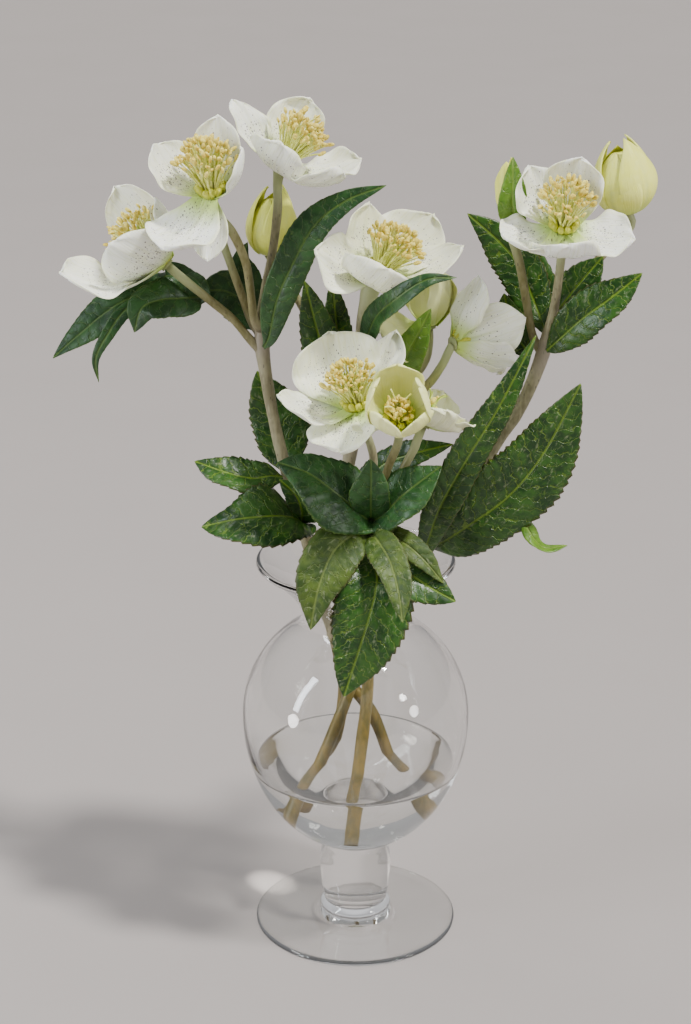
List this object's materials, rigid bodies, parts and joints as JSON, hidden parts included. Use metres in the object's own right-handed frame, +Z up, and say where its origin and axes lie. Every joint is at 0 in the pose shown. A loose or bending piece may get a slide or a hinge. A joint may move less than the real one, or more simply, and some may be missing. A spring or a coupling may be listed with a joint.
{
  "type": "bouquet of hellebore flowers in a glass vase",
  "caption": "Loose bouquet of white and greenish hellebore flowers, buds and toothed leaves standing in water in a round clear glass vase with a flared lip, solid knop and disc foot.",
  "frame": {"origin": "centre of the foot's underside", "axes": "+X to the viewer's right, +Y away from the viewer, +Z up"},
  "size_m": [0.2941, 0.1395, 0.4437],
  "materials": {
    "glass": "clear blown glass, polished",
    "water": "clear still water",
    "stem": "tan-brown fleshy stem with grey speckle",
    "pedicel": "olive green smooth stalk",
    "sepal": "white petal-like sepal with green base and dark speckles",
    "stamen": "cream filaments with ochre anthers",
    "bud": "pale yellow-green closed bud",
    "leaf": "dark green leathery leaf with pale veins",
    "bract": "fresh yellow-green bract"
  },
  "bodies": {
    "root": {"bract_12": "bract", "bud_11": "bud", "bud_12": "bud", "bud_13": "bud", "leaf_before_flower_4": "leaf", "leaf_before_flower_9": "leaf", "leaf_behind_flower_5": "leaf", "leaf_behind_left_stem": "leaf", "leaf_below_flower_1": "leaf", "leaf_left_fork": "leaf", "leaf_long_upright": "leaf", "leaf_mid_left_lower": "leaf", "leaf_mid_left_upper": "leaf", "leaf_middle": "leaf", "leaf_over_lip": "leaf", "leaf_right_inner": "leaf", "leaf_right_large": "leaf", "leaf_right_narrow": "leaf", "leaf_right_outer": "leaf", "leaf_right_small": "leaf", "leaf_right_upper": "leaf", "leaf_whorl_lower": "leaf", "leaf_whorl_upper": "leaf", "pedicel_1": "pedicel", "pedicel_11": "pedicel", "pedicel_12": "pedicel", "pedicel_13": "pedicel", "pedicel_2": "pedicel", "pedicel_6": "pedicel", "pedicel_7": "pedicel", "pedicel_8": "pedicel", "pedicel_9": "pedicel", "pedicel_hidden": "pedicel", "sepals_1": "sepal", "sepals_10": "sepal", "sepals_2": "sepal", "sepals_3": "sepal", "sepals_4": "sepal", "sepals_5": "sepal", "sepals_6": "sepal", "sepals_7": "sepal", "sepals_8": "sepal", "sepals_9": "sepal", "stamens_1": "stamen", "stamens_10": "stamen", "stamens_2": "stamen", "stamens_3": "stamen", "stamens_4": "stamen", "stamens_5": "stamen", "stamens_6": "stamen", "stamens_7": "stamen", "stamens_8": "stamen", "stem_back": "stem", "stem_front": "stem", "stem_left": "stem", "stem_right": "stem", "vase": "glass", "vase_shoulder": "glass", "vase_neck": "glass", "water": "water"}
  },
  "joints": []
}
